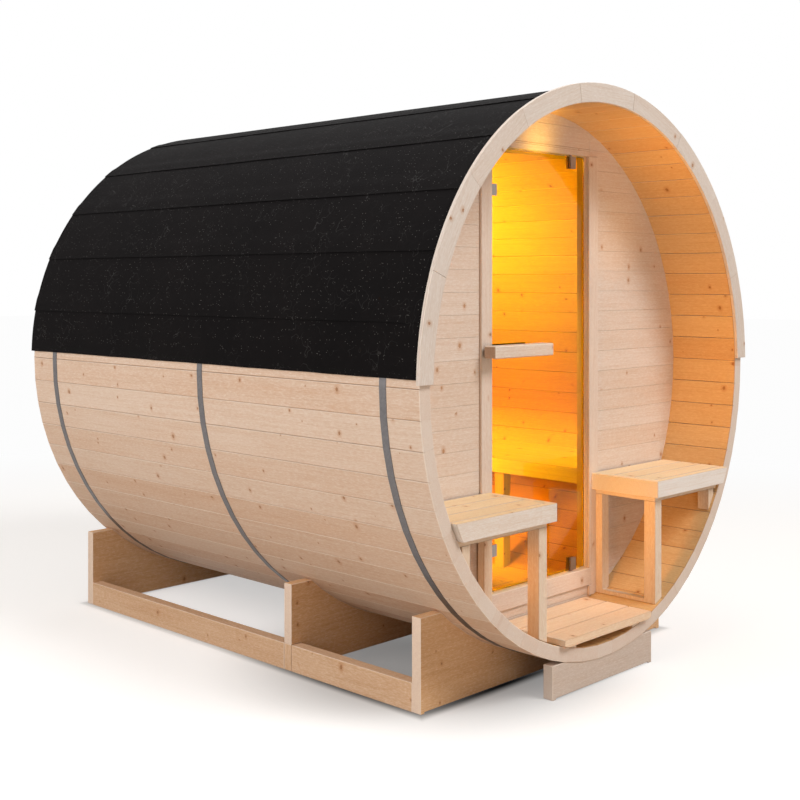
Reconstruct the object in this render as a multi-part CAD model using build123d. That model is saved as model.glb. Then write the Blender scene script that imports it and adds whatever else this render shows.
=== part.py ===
from build123d import *
import math
import os

os.makedirs("parts", exist_ok=True)

# Barrel sauna. Millimetres, +Z up, ground at z = 0, barrel axis along Y, glass door facing -Y.

# Barrel
outer_radius = 1000.0
stave_thickness = 50.0
stave_count = 66
barrel_length = 2140.0
ground_gap = 86.0
barrel_centre_z = outer_radius + ground_gap
stave_pitch = 360.0 / stave_count
inner_radius = outer_radius - stave_thickness

# End walls, held in a groove cut round the inside of the staves
groove_depth = 10.0
groove_clearance = 1.0
wall_thickness = 40.0
front_wall_y = 272.0
front_wall_back = front_wall_y + wall_thickness
rear_wall_inset = 42.0
rear_wall_back = barrel_length - rear_wall_inset
rear_wall_y = rear_wall_back - wall_thickness
wall_radius = inner_radius + groove_depth - groove_clearance

# Steel straps
band_width = 28.0
band_thickness = 1.5
front_band_start = 133.0
middle_band_offset = 52.0
rear_band_inset = 175.0
band_starts = (front_band_start, barrel_length / 2 - middle_band_offset, barrel_length - rear_band_inset)

# Arched board on the front ends of the upper staves
fascia_thickness = 12.0
fascia_lip = 1.0
fascia_proud = 17.0
fascia_inner = inner_radius - fascia_lip
fascia_outer = outer_radius + fascia_proud
fascia_end_angle = 89.3

# Roofing felt strips, counted from the eaves to the crown
felt_thickness = 3.0
felt_overlap_angle = 3.0
felt_step_angle = 0.3
felt_landing_angle = 1.0
felt_edge_angles = (88.5, 78.75, 65.6, 52.7, 38.5, 22.0)
felt_front = 0.5
felt_overhang = 22.0
felt_rear = barrel_length + felt_overhang

# Floor level above the lowest stave
floor_rise = 64.0
floor_top = barrel_centre_z - inner_radius + floor_rise

# Door opening, glass and frame
door_half_width = 295.0
glass_above_floor = 111.0
glass_below_crown = 153.0
glass_bottom = floor_top + glass_above_floor
glass_top = barrel_centre_z + inner_radius - glass_below_crown
glass_front = 281.0
glass_thickness = 8.0
edge_gap = 6.0
jamb_thickness = 20.0
jamb_proud = 8.0
jamb_back = front_wall_back + jamb_proud
jamb_inner = door_half_width + edge_gap
jamb_outer = jamb_inner + jamb_thickness
opening_bottom = glass_bottom - edge_gap
opening_top = glass_top + edge_gap
sill_height = 66.0
post_front = 262.0
post_gap = 2.0
post_inner = jamb_inner + post_gap
post_width = 62.0
stop_width = 16.0
stop_thickness = 14.0
stop_end_gap = 12.0

# Door hardware
pivot_x = 212.0
pivot_block = 34.0
pivot_block_height = 46.0
pivot_cheek = 8.0
catch_width = 36.0
catch_height = 42.0
catch_thickness = 5.0
catch_below_top = 150.0
catch_above_bottom = 144.0
pin_radius = 5.0
pin_clearance = 0.05
pin_engagement = 24.0
pin_end_gap = 2.0
notch_half_width = 12.0
notch_depth = 32.0
handle_left = -363.0
handle_length = 344.0
handle_height = 44.0
handle_depth = 48.0
handle_back = 250.0
handle_rise = 76.0
handle_mid_z = barrel_centre_z + handle_rise
inner_handle_left = -272.0
inner_handle_length = 215.0
inner_handle_depth = 34.0
inner_handle_gap = 15.0
standoff_radius = 7.0
bolt_radius = 4.0
outer_bolt_x = -240.0
inner_bolt_x = -90.0
bolt_spots = (outer_bolt_x, inner_bolt_x)

# Floors
plank_thickness = 28.0
plank_gap = 4.0
porch_front = -20.0
floor_half_width = 275.0
curve_clearance = 2.0
bearer_inner_x = 178.0
bearer_width = 56.0

# Porch benches
seat_height = 469.0
seat_top = floor_top + seat_height
seat_board = 28.0
seat_front_height = 62.0
bench_inner_x = 321.0
rail_drop = 20.0
leg = 46.0
leg_inset = 19.0
low_rail_height = 20.0
board_end_gap = 2.0
short_leg_inset = 160.0
short_leg_width = 40.0

# Room bench along the right wall
room_seat_height = 476.0
room_seat_top = floor_top + room_seat_height
room_bench_reach = 605.0
room_bench_x = inner_radius - room_bench_reach
room_board_width = 110.0
front_leg_inset = 410.0
rear_leg_inset = 418.0
room_leg_starts = (front_wall_back + front_leg_inset, rear_wall_y - rear_leg_inset)

# Cradle
board_thickness = 38.0
board_rise = 228.0
board_top = ground_gap + board_rise
board_half_width = 740.0
front_board_start = 218.0
middle_board_offset = 242.0
rear_board_inset = 55.0
board_starts = (front_board_start, barrel_length / 2 - middle_board_offset, barrel_length - rear_board_inset)
support_half_width = 314.0
support_rise = 30.0
support_top = ground_gap + support_rise
support_start = 3.0
rail_width = 48.0
rail_height = 96.0
foot_length = 20.0
foot_relief = 5.0


# Depths below are measured from the staves' front ends. The origin is the middle of the outline.
front_ends_y = -(porch_front + felt_rear) / 2

# Cutting shapes reach past the barrel and past its ends.
beyond = 1.5 * outer_radius
cut_front = porch_front - stave_thickness


def upright(y, z=0.0):
    # A vertical drawing plane, looked at from the front, that extrudes towards the front.
    return Plane(origin=(0, front_ends_y + y, z), x_dir=(1, 0, 0), z_dir=(0, -1, 0))


def polygon_prism(apothem, y0, y1, sides=stave_count):
    # A prism round the barrel axis whose flats face the same way as the staves.
    flat = RegularPolygon(apothem, sides, major_radius=False, rotation=90.0 - 180.0 / sides)
    return extrude(upright(y1, barrel_centre_z) * flat, amount=y1 - y0)


def round_prism(radius, y0, y1):
    return extrude(upright(y1, barrel_centre_z) * Circle(radius), amount=y1 - y0)


def block(x0, x1, y0, y1, z0, z1):
    mid_y = front_ends_y + (y0 + y1) / 2
    return Pos((x0 + x1) / 2, mid_y, (z0 + z1) / 2) * Box(x1 - x0, y1 - y0, z1 - z0)


def point(radius, degrees):
    # A point in the cross-section; the angle is measured from the crown towards +X.
    a = math.radians(degrees)
    return (radius * math.sin(a), barrel_centre_z + radius * math.cos(a))


def section(points, y0, y1):
    return extrude(upright(y1) * Polygon(*points, align=None), amount=y1 - y0)


def facet_radius(apothem, degrees):
    # Distance of a polygon's edge from the axis in the given direction.
    off = (degrees + stave_pitch / 2) % stave_pitch - stave_pitch / 2
    return apothem / math.cos(math.radians(off))


def arc_band(inner, outer, start, end, y0, y1, inner_flats=True, outer_flats=False):
    # A curved slab between two angles. Either side follows the flats of the staves or a true arc.
    steps = [start]
    k = math.ceil((start - stave_pitch / 2 + 0.01) / stave_pitch)
    while (k + 0.5) * stave_pitch < end - 0.01:
        if (k + 0.5) * stave_pitch > start + 0.01:
            steps.append((k + 0.5) * stave_pitch)
        k += 1
    steps.append(end)
    low = [point(facet_radius(inner, a), a) for a in steps]
    high = [point(facet_radius(outer, a), a) for a in steps]
    return section(low + high[::-1], y0, y1)


def save(shape, node):
    export_step(shape, "parts/" + node + ".step")


# Staves. Each group is cut from flats, then grooved for the end walls.
groove = polygon_prism(inner_radius + groove_depth, front_wall_y, front_wall_back)
groove += polygon_prism(inner_radius + groove_depth, rear_wall_y, rear_wall_back)


def stave_group(first_joint, count, node):
    start = (first_joint + 0.5) * stave_pitch
    wall = arc_band(inner_radius, outer_radius, start, start + count * stave_pitch, 0.0, barrel_length)
    save(wall - groove, node)


side_count = 7
end_count = stave_count // 2 - 4 * side_count
stave_group(-3, end_count, "staves_crown")
for number in range(4):
    stave_group(2 + number * side_count, side_count, "staves_right_" + str(number + 1))
    stave_group(-3 - (number + 1) * side_count, side_count, "staves_left_" + str(number + 1))
stave_group(2 + 4 * side_count, end_count, "staves_bottom")

# Steel straps follow the flats of the staves.
bands = []
for start in band_starts:
    ring = polygon_prism(outer_radius + band_thickness, start, start + band_width)
    bands.append(ring - polygon_prism(outer_radius, start - 1.0, start + band_width + 1.0))
save(Compound(children=bands), "steel_bands")

# Arched board on the stave ends.
arch = round_prism(fascia_outer, -fascia_thickness, 0.0)
arch -= round_prism(fascia_inner, cut_front, stave_thickness)
end_z = barrel_centre_z + fascia_outer * math.cos(math.radians(fascia_end_angle))
arch &= block(-beyond, beyond, cut_front, stave_thickness, end_z, end_z + beyond)
save(arch, "fascia_arch")

# Roofing felt on the straps. Each strip's lower margin lies on the strip below it.
felt_base = outer_radius + band_thickness


def felt_strip(low_edge, next_edge, lifted=True):
    low = low_edge
    top = next_edge - felt_overlap_angle
    if not lifted:
        return arc_band(felt_base, felt_base + felt_thickness, top, low, felt_front, felt_rear)
    start = low - felt_overlap_angle - felt_step_angle
    strip = arc_band(felt_base, felt_base + felt_thickness, top, start, felt_front, felt_rear)
    margin_inner = felt_base + felt_thickness
    margin_outer = margin_inner + felt_thickness
    margin = arc_band(margin_inner, margin_outer, start - felt_landing_angle, low, felt_front, felt_rear)
    return strip + margin


def both_sides(shape):
    return Compound(children=[shape, mirror(shape, about=Plane.YZ)])


felt_names = ("roof_felt_eaves", "roof_felt_2", "roof_felt_3", "roof_felt_4", "roof_felt_5")
for number, node in enumerate(felt_names):
    strip = felt_strip(felt_edge_angles[number], felt_edge_angles[number + 1], lifted=number > 0)
    save(both_sides(strip), node)

crown_edge = felt_edge_angles[-1]
crown_base = crown_edge - felt_overlap_angle - felt_step_angle
crown = arc_band(felt_base, felt_base + felt_thickness, -crown_base, crown_base, felt_front, felt_rear)
margin_inner = felt_base + felt_thickness
margin_outer = margin_inner + felt_thickness
for side in (-1, 1):
    near = side * (crown_base - felt_landing_angle)
    far = side * crown_edge
    crown += arc_band(margin_inner, margin_outer, min(near, far), max(near, far), felt_front, felt_rear)
save(crown, "roof_felt_crown")

# Pieces inside the barrel are cut to its curve, or to its flats where they lie on the staves.
inside_curve = round_prism(inner_radius - curve_clearance, cut_front, barrel_length)
inside_flats = polygon_prism(inner_radius, cut_front, barrel_length)

# End walls. The front wall is four pieces round the door frame.
front_disc = polygon_prism(wall_radius, front_wall_y, front_wall_back)
head_top = opening_top + jamb_thickness
sill_bottom = opening_bottom - sill_height
wall_top = 2 * barrel_centre_z
save(front_disc & block(-beyond, -jamb_outer, 0, barrel_length, 0, wall_top), "front_wall_left")
save(front_disc & block(jamb_outer, beyond, 0, barrel_length, 0, wall_top), "front_wall_right")
over_door = block(-jamb_outer, jamb_outer, 0, barrel_length, head_top, wall_top)
save(front_disc & over_door, "front_wall_over_door")
save(front_disc & block(-jamb_outer, jamb_outer, 0, barrel_length, 0, sill_bottom), "front_wall_under_door")
save(polygon_prism(wall_radius, rear_wall_y, rear_wall_back), "rear_wall")

# Door frame. The left jamb and the head carry a stop strip behind the glass.
stop_y = glass_front + glass_thickness + edge_gap
left_jamb = block(-jamb_outer, -jamb_inner, front_wall_y, jamb_back, opening_bottom, opening_top)
stop_back = stop_y + stop_thickness
left_stop = block(-jamb_inner, -jamb_inner + stop_width, stop_y, stop_back, opening_bottom, opening_top)
right_jamb = block(jamb_inner, jamb_outer, front_wall_y, jamb_back, opening_bottom, opening_top)
save(Compound(children=[left_jamb + left_stop, right_jamb]), "door_jambs")
head = block(-jamb_outer, jamb_outer, front_wall_y, jamb_back, opening_top, head_top)
stop_right = pivot_x - pivot_block / 2 - stop_end_gap
stop_bottom = opening_top - stop_width
head_stop = block(-jamb_inner + stop_width, stop_right, stop_y, stop_back, stop_bottom, opening_top)
save(head + head_stop, "door_head")
save(block(-jamb_outer, jamb_outer, post_front, jamb_back, sill_bottom, opening_bottom), "door_sill")

posts = []
for side in (-1, 1):
    x_in = side * post_inner
    x_out = side * (post_inner + post_width)
    posts.append(block(min(x_in, x_out), max(x_in, x_out), post_front, front_wall_y, floor_top, opening_top))
sill_slot = block(-jamb_outer, jamb_outer, post_front - 1.0, front_wall_y + 1.0, sill_bottom, opening_bottom)
save(Compound(children=[(post - sill_slot) & inside_curve for post in posts]), "door_posts")

# Door. The pivot blocks sit in notches in the glass and turn on pins in the head and the sill.
glass_back = glass_front + glass_thickness
pivot_y = glass_front + glass_thickness / 2
glass = block(-door_half_width, door_half_width, glass_front, glass_back, glass_bottom, glass_top)
notch_left = pivot_x - notch_half_width
notch_right = pivot_x + notch_half_width
glass -= block(notch_left, notch_right, 0, barrel_length, glass_top - notch_depth, glass_top + edge_gap)
glass -= block(notch_left, notch_right, 0, barrel_length, glass_bottom - edge_gap, glass_bottom + notch_depth)
for x in bolt_spots:
    hole = upright(glass_back) * Pos(x, handle_mid_z) * Circle(bolt_radius)
    glass -= extrude(hole, amount=glass_thickness)
save(glass, "door_glass")

block_left = pivot_x - pivot_block / 2
block_right = pivot_x + pivot_block / 2
block_front = glass_front - pivot_cheek
block_back = glass_back + pivot_cheek
upper_start = glass_top - pivot_block_height
lower_end = glass_bottom + pivot_block_height
upper_block = block(block_left, block_right, block_front, block_back, upper_start, glass_top)
lower_block = block(block_left, block_right, block_front, block_back, glass_bottom, lower_end)
bore_depth = pin_engagement + pin_end_gap
pivot_spot = Pos(pivot_x, front_ends_y + pivot_y)
bore = extrude(pivot_spot * Circle(pin_radius + pin_clearance), amount=bore_depth)
upper_block -= Pos(0, 0, glass_top - bore_depth) * bore
lower_block -= Pos(0, 0, glass_bottom) * bore
plates = []
for mid in (glass_top - catch_below_top, glass_bottom + catch_above_bottom):
    plates.append(block(-door_half_width, catch_width - door_half_width, glass_front - catch_thickness,
                        glass_front, mid - catch_height / 2, mid + catch_height / 2))
save(Compound(children=[upper_block - glass, lower_block - glass] + plates), "door_fittings")

pin_length = edge_gap + pin_engagement
pin = extrude(pivot_spot * Circle(pin_radius), amount=pin_length)
upper_pin = Pos(0, 0, opening_top - pin_length) * pin
lower_pin = Pos(0, 0, opening_bottom) * pin
save(Compound(children=[upper_pin, lower_pin]), "pivot_pins")

handle_low = handle_mid_z - handle_height / 2
handle_high = handle_mid_z + handle_height / 2
handle_front = handle_back - handle_depth
outside = block(handle_left, handle_left + handle_length, handle_front, handle_back, handle_low, handle_high)
inside_front = glass_back + inner_handle_gap
inside = block(inner_handle_left, inner_handle_left + inner_handle_length,
               inside_front, inside_front + inner_handle_depth, handle_low, handle_high)
for x in bolt_spots:
    spacer = Pos(x, handle_mid_z) * Circle(standoff_radius)
    bolt = Pos(x, handle_mid_z) * Circle(bolt_radius)
    outside += extrude(upright(glass_front) * spacer, amount=glass_front - handle_back)
    outside += extrude(upright(glass_back) * bolt, amount=glass_thickness)
    inside += extrude(upright(inside_front) * spacer, amount=inner_handle_gap)
save(outside, "door_handle_outside")
save(inside, "door_handle_inside")

# Floors. Bearers lie on the staves, planks lie across them, cut to the barrel's curve at their ends.
floor_bottom = floor_top - plank_thickness
bearers = []
for side in (-1, 1):
    x_in = side * bearer_inner_x
    x_out = side * (bearer_inner_x + bearer_width)
    for y0, y1 in ((0.0, front_wall_y), (front_wall_back, rear_wall_y)):
        bearers.append(block(min(x_in, x_out), max(x_in, x_out), y0, y1, 0, floor_bottom) & inside_flats)
save(Compound(children=bearers), "floor_bearers")


def planks_across(y0, y1, count, x0, x1, z0, z1):
    width = (y1 - y0 - (count - 1) * plank_gap) / count
    boards = []
    for i in range(count):
        start = y0 + i * (width + plank_gap)
        boards.append(block(x0, x1, start, start + width, z0, z1) & inside_curve)
    return boards


def floor_planks(y0, y1, count):
    return planks_across(y0, y1, count, -floor_half_width, floor_half_width, floor_bottom, floor_top)


save(Compound(children=floor_planks(porch_front, post_front, 3)), "porch_floor")
save(Compound(children=floor_planks(front_wall_back, rear_wall_y, 18)), "room_floor")

# Porch benches. A front board and an end board hide the ends of the planks, which lie on rails.
apron_back = porch_front + seat_board
plank_bottom = seat_top - seat_board
apron_bottom = seat_top - seat_front_height
rail_bottom = apron_bottom - rail_drop
bench_end = -bench_inner_x


def bench_seat():
    front = block(-beyond, bench_end, porch_front, apron_back, apron_bottom, seat_top)
    end = block(bench_end - seat_board, bench_end, apron_back, post_front, apron_bottom, seat_top)
    apron = (front + end) & inside_curve
    plank_end = bench_end - seat_board - board_end_gap
    planks = planks_across(apron_back + plank_gap, post_front, 3, -beyond, plank_end, plank_bottom, seat_top)
    return Compound(children=[apron] + planks)


def bench_frame(leg_outer_x, leg_inner_x):
    rail_in = bench_end - seat_board
    front_rail = block(-beyond, rail_in, apron_back, apron_back + leg, rail_bottom, plank_bottom)
    rear_rail = block(-beyond, rail_in, post_front - seat_board, post_front, rail_bottom, plank_bottom)
    end_rail = block(rail_in - leg, rail_in, apron_back, post_front, rail_bottom, plank_bottom)
    front_leg = block(leg_outer_x, leg_inner_x, apron_back, apron_back + leg, floor_top, apron_bottom)
    rear_leg = block(leg_outer_x, leg_inner_x, post_front - seat_board, post_front, floor_top, rail_bottom)
    low_rail_top = floor_top + low_rail_height
    low_rail = block(leg_inner_x - seat_board, leg_inner_x, apron_back, post_front, floor_top, low_rail_top)
    frame = front_rail + rear_rail + end_rail + front_leg + rear_leg + low_rail
    short_leg_x = short_leg_inset - inner_radius
    frame += block(short_leg_x, short_leg_x + short_leg_width, apron_back, apron_back + leg, 0, rail_bottom)
    return frame & inside_curve


left_leg_x = bench_end - leg_inset
save(bench_seat(), "porch_bench_left_seat")
save(bench_frame(left_leg_x - leg, left_leg_x), "porch_bench_left_frame")
right_leg_x = bench_end - seat_board
save(mirror(bench_seat(), about=Plane.YZ), "porch_bench_right_seat")
save(mirror(bench_frame(right_leg_x - leg, right_leg_x), about=Plane.YZ), "porch_bench_right_frame")

# Room bench along the right wall: boards lie lengthwise on cross rails with a leg at each.
room_start = front_wall_back
room_end = rear_wall_y
room_apron_back = room_bench_x + seat_board
room_apron_bottom = room_seat_top - seat_front_height
room_boards = [block(room_bench_x, room_apron_back, room_start, room_end, room_apron_bottom, room_seat_top)]
board_edge = room_apron_back + plank_gap
for i in range(4):
    x0 = board_edge + i * (room_board_width + plank_gap)
    board = block(x0, x0 + room_board_width, room_start, room_end, room_seat_top - seat_board, room_seat_top)
    room_boards.append(board & inside_curve)
save(Compound(children=room_boards), "room_bench_seat")
room_frames = []
room_rail_top = room_seat_top - seat_board
room_rail_bottom = room_rail_top - leg
for y0 in room_leg_starts:
    rail = block(room_apron_back, beyond, y0, y0 + leg, room_rail_bottom, room_rail_top)
    support = block(room_apron_back, room_apron_back + leg, y0, y0 + leg, 0, room_rail_bottom)
    room_frames.append((rail + support) & inside_flats)
save(Compound(children=room_frames), "room_bench_frame")

# Cradle. Boards cut to the barrel's curve stand across it, joined by two rails on the ground.
saddle = polygon_prism(outer_radius, cut_front, barrel_length + stave_thickness)
rails = []
rail_start = board_starts[0] + board_thickness
rail_end = board_starts[2]
for side in (-1, 1):
    x_in = side * (board_half_width - rail_width)
    x_out = side * board_half_width
    rails.append(block(min(x_in, x_out), max(x_in, x_out), rail_start, rail_end, 0, rail_height))
save(Compound(children=rails), "cradle_rails")


def saddle_board(half_width, start, top):
    board = block(-half_width, half_width, start, start + board_thickness, 0, top)
    relief = half_width - foot_length
    return board - saddle - block(-relief, relief, start, start + board_thickness, 0, foot_relief)


save(saddle_board(board_half_width, board_starts[0], board_top), "cradle_front")
middle = saddle_board(board_half_width, board_starts[1], board_top)
save(middle - rails[0] - rails[1], "cradle_middle")
save(saddle_board(board_half_width, board_starts[2], board_top), "cradle_rear")
save(saddle_board(support_half_width, support_start, support_top), "porch_support")
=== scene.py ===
import bmesh
import bpy
import math
import random
from mathutils import Matrix, Vector, noise


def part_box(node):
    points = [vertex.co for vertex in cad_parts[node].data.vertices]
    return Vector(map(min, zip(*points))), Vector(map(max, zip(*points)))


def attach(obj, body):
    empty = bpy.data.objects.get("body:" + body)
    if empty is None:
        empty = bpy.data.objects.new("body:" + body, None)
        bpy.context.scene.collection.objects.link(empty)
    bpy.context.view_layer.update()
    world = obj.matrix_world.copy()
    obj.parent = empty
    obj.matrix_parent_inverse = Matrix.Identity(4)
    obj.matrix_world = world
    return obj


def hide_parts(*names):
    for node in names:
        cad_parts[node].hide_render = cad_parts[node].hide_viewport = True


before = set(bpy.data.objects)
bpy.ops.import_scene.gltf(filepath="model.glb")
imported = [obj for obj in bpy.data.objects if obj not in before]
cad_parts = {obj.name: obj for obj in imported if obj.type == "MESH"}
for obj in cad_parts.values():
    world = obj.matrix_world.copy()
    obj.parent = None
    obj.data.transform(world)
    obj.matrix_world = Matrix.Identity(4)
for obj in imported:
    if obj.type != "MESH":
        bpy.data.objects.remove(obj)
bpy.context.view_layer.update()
print("frame loaded")

# Metres, in the part's own frame. Depths along the barrel are counted from the front ends of the staves.
barrel = dict(outer=1.0, inner=0.95, centreZ=1.086, front=-1.071, back=1.069, staves=66)
pitch = 2 * math.pi / barrel["staves"]


def nothingSelected():
    if bpy.context.mode != "OBJECT":
        bpy.ops.object.mode_set(mode="OBJECT")
    bpy.ops.object.select_all(action="DESELECT")


def makeActive(obj):
    nothingSelected()
    obj.select_set(True)
    bpy.context.view_layer.objects.active = obj


def editMesh(obj, action="SELECT"):
    makeActive(obj)
    bpy.ops.object.mode_set(mode="EDIT")
    bpy.ops.mesh.select_all(action=action)


def applyModifiers(obj):
    makeActive(obj)
    for modifier in list(obj.modifiers):
        bpy.ops.object.modifier_apply(modifier=modifier.name)


def smoothByAngle(obj, degrees=32):
    makeActive(obj)
    bpy.ops.object.shade_smooth_by_angle(angle=math.radians(degrees))


def easeEdges(obj, width, segments=2, degrees=32):
    bevel = obj.modifiers.new("easedEdges", "BEVEL")
    bevel.width = width
    bevel.segments = segments
    bevel.limit_method = "ANGLE"
    bevel.angle_limit = math.radians(degrees)
    applyModifiers(obj)
    flatFaces(obj)


def flatFaces(obj, degrees=32):
    # Rounded edges, with the large faces kept flat.
    smoothByAngle(obj, degrees)
    weighted = obj.modifiers.new("flatFaces", "WEIGHTED_NORMAL")
    weighted.weight = 100
    weighted.keep_sharp = True
    applyModifiers(obj)


def copyMesh(obj, name):
    twin = bpy.data.objects.new(name, obj.data.copy())
    bpy.context.scene.collection.objects.link(twin)
    return twin


# Metres and degrees: how near two corners are one, how flat two triangles are one face.
merging = dict(near=0.00002, flat=0.6)


def copyNode(node, name):
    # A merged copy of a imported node, with whole faces instead of triangles.
    piece = copyMesh(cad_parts[node], name)
    piece.data.materials.clear()
    editMesh(piece)
    bpy.ops.mesh.customdata_custom_splitnormals_clear()
    bpy.ops.mesh.remove_doubles(threshold=merging["near"])
    bpy.ops.mesh.dissolve_limited(angle_limit=math.radians(merging["flat"]))
    bpy.ops.object.mode_set(mode="OBJECT")
    return piece


def cutAway(obj, place, away):
    # Everything on the side that "away" points to goes, and the cut is closed.
    editMesh(obj)
    bpy.ops.mesh.bisect(plane_co=place, plane_no=away, use_fill=True, clear_outer=True)
    bpy.ops.object.mode_set(mode="OBJECT")


def sliceOf(obj, name, axis, low, high):
    piece = copyMesh(obj, name)
    away = Vector([0, 0, 0])
    away[axis] = 1
    if high is not None:
        cutAway(piece, away * high, away)
    if low is not None:
        cutAway(piece, away * low, -away)
    return piece


def joinPieces(pieces, name):
    pieces = [p for p in pieces if len(p.data.polygons) > 0]
    nothingSelected()
    for piece in pieces:
        piece.select_set(True)
    bpy.context.view_layer.objects.active = pieces[0]
    if len(pieces) > 1:
        bpy.ops.object.join()
    pieces[0].name = name
    pieces[0].data.name = name
    return pieces[0]


# Axes of a board: along its grain, across it and through it.
lengthwise = (1, 0, 2)
lengthwiseUpright = (1, 2, 0)
crosswise = (0, 1, 2)
crosswiseUpright = (0, 2, 1)
upright = (2, 0, 1)
uprightDeep = (2, 1, 0)


def frontCorner(island):
    corner = min((vert.co for vert in island), key=lambda place: (place.y, place.z, place.x))
    return [round(c, 3) for c in corner]


def islandsOf(bm):
    # The loose parts of a mesh, in the order of their front corners.
    left = set(bm.verts)
    islands = []
    while left:
        stack = [left.pop()]
        island = []
        while stack:
            vert = stack.pop()
            island.append(vert)
            for edge in vert.link_edges:
                other = edge.other_vert(vert)
                if other in left:
                    left.remove(other)
                    stack.append(other)
        islands.append(island)
    islands.sort(key=frontCorner)
    return islands


# Metres: where in the timber a board may lie, and how wide an arris is at most. turned: how much of a face's
# direction lies along an axis when it counts as turned that way, and flat: when it is no arris.
boards = dict(along=60, across=0.09, depth=(0.02, 0.13), turned=0.75, arrisWidth=0.003, flat=0.99)


def markGrain(obj, axes, seed):
    # Each loose board gets its own place in the timber and its own tone. axes: along, across, through.
    rng = random.Random(seed)
    bm = bmesh.new()
    bm.from_mesh(obj.data)
    grain = bm.verts.layers.float_vector.new("grain")
    tone = bm.verts.layers.float.new("tone")
    endGrain = bm.faces.layers.float.new("endGrain")
    narrowSide = bm.faces.layers.float.new("narrowSide")
    paintedWarmLight = bm.faces.layers.float.new("paintedWarmLight")
    arris = bm.faces.layers.float.new("arris")
    for face in bm.faces:
        size = [abs(n) for n in face.normal]
        face[endGrain] = float(size[axes[0]] > boards["turned"])
        face[narrowSide] = float(size[axes[1]] > boards["turned"])
        # Top faces are marked for painted warm light.
        face[paintedWarmLight] = float(face.normal.z > boards["turned"])
        # Slim eased faces get a sign: which side of a joint takes the painted highlight, and which the
        # painted shade.
        slim = min(edge.calc_length() for edge in face.edges) < boards["arrisWidth"]
        if slim and max(size) < boards["flat"]:
            face[arris] = math.copysign(1.0, face.normal[axes[1]])
    for island in islandsOf(bm):
        middle = [sum(v.co[i] for v in island) / len(island) for i in range(3)]
        shift = (rng.uniform(0, boards["along"]), rng.uniform(-boards["across"], boards["across"]),
                 rng.uniform(*boards["depth"]))
        value = rng.uniform(0.0, 1.0)
        for vert in island:
            vert[grain] = [vert.co[axes[i]] - middle[axes[i]] + shift[i] for i in range(3)]
            vert[tone] = value
    bm.to_mesh(obj.data)
    bm.free()


def dress(piece, nodes, body, material):
    piece.data.materials.clear()
    piece.data.materials.append(material)
    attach(piece, body)
    if nodes:
        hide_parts(*nodes)


def newGroup(name, inputs, outputs):
    group = bpy.data.node_groups.new(name, "ShaderNodeTree")
    for label, kind, value in inputs:
        socket = group.interface.new_socket(name=label, in_out="INPUT", socket_type=kind)
        if value is not None:
            socket.default_value = value
    for label, kind in outputs:
        group.interface.new_socket(name=label, in_out="OUTPUT", socket_type=kind)
    return group


class Wires:
    # Short ways to place and join shader nodes.
    def __init__(self, tree):
        self.tree = tree
        self.column = 0

    def add(self, kind, **values):
        node = self.tree.nodes.new(kind)
        self.column += 1
        node.location = (self.column * 190 - 3000, (self.column % 5) * -190)
        for key, value in values.items():
            setattr(node, key, value)
        return node

    def plug(self, socket, value):
        if isinstance(value, bpy.types.NodeSocket):
            self.tree.links.new(value, socket)
        elif value is not None:
            socket.default_value = value

    def maths(self, operation, a, b=None, c=None, clamp=False):
        node = self.add("ShaderNodeMath", operation=operation, use_clamp=clamp)
        for socket, value in zip(node.inputs, (a, b, c)):
            self.plug(socket, value)
        return node.outputs[0]

    def times(self, a, b):
        return self.maths("MULTIPLY", a, b)

    def plus(self, a, b, clamp=False):
        return self.maths("ADD", a, b, None, clamp)

    def minus(self, a, b):
        return self.maths("SUBTRACT", a, b)

    def vector(self, operation, a, b=None):
        node = self.add("ShaderNodeVectorMath", operation=operation)
        self.plug(node.inputs[0], a)
        self.plug(node.inputs[1], b)
        return node.outputs["Value"] if operation == "LENGTH" else node.outputs["Vector"]

    def stretch(self, vector, by):
        return self.vector("MULTIPLY", vector, by)

    def attribute(self, name):
        return self.add("ShaderNodeAttribute", attribute_name=name)

    def noise(self, vector, scale, detail=2.0, roughness=0.5):
        node = self.add("ShaderNodeTexNoise")
        self.plug(node.inputs["Vector"], vector)
        self.plug(node.inputs["Scale"], scale)
        self.plug(node.inputs["Detail"], detail)
        self.plug(node.inputs["Roughness"], roughness)
        return node.outputs["Fac"]

    def cells(self, vector, scale=1.0):
        # The nearest cell: the texture's own outputs, and its colour taken as three random numbers.
        node = self.add("ShaderNodeTexVoronoi", feature="F1")
        self.plug(node.inputs["Vector"], vector)
        self.plug(node.inputs["Scale"], scale)
        chance = self.add("ShaderNodeSeparateColor")
        self.plug(chance.inputs[0], node.outputs["Color"])
        return node, chance.outputs[0]

    def relief(self, height, strength, distance):
        node = self.add("ShaderNodeBump")
        node.inputs["Strength"].default_value = strength
        node.inputs["Distance"].default_value = distance
        self.plug(node.inputs["Height"], height)
        return node.outputs["Normal"]

    def seen(self):
        # 1 for rays from the camera, through glass and off shiny faces, 0 for light that falls on the object.
        path = self.add("ShaderNodeLightPath").outputs
        direct = self.plus(path["Is Camera Ray"], path["Is Transmission Ray"], True)
        return self.plus(direct, path["Is Glossy Ray"], True)

    def span(self, value, low, high, toLow=0.0, toHigh=1.0, smooth=False):
        node = self.add("ShaderNodeMapRange")
        if smooth:
            node.interpolation_type = "SMOOTHSTEP"
        for socket, item in zip(node.inputs, (value, low, high, toLow, toHigh)):
            self.plug(socket, item)
        return node.outputs["Result"]

    def mix(self, fac, a, b, blend="MIX"):
        node = self.add("ShaderNodeMix", data_type="RGBA", blend_type=blend)
        self.plug(node.inputs[0], fac)
        self.plug(node.inputs[6], a)
        self.plug(node.inputs[7], b)
        return node.outputs[2]


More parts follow.
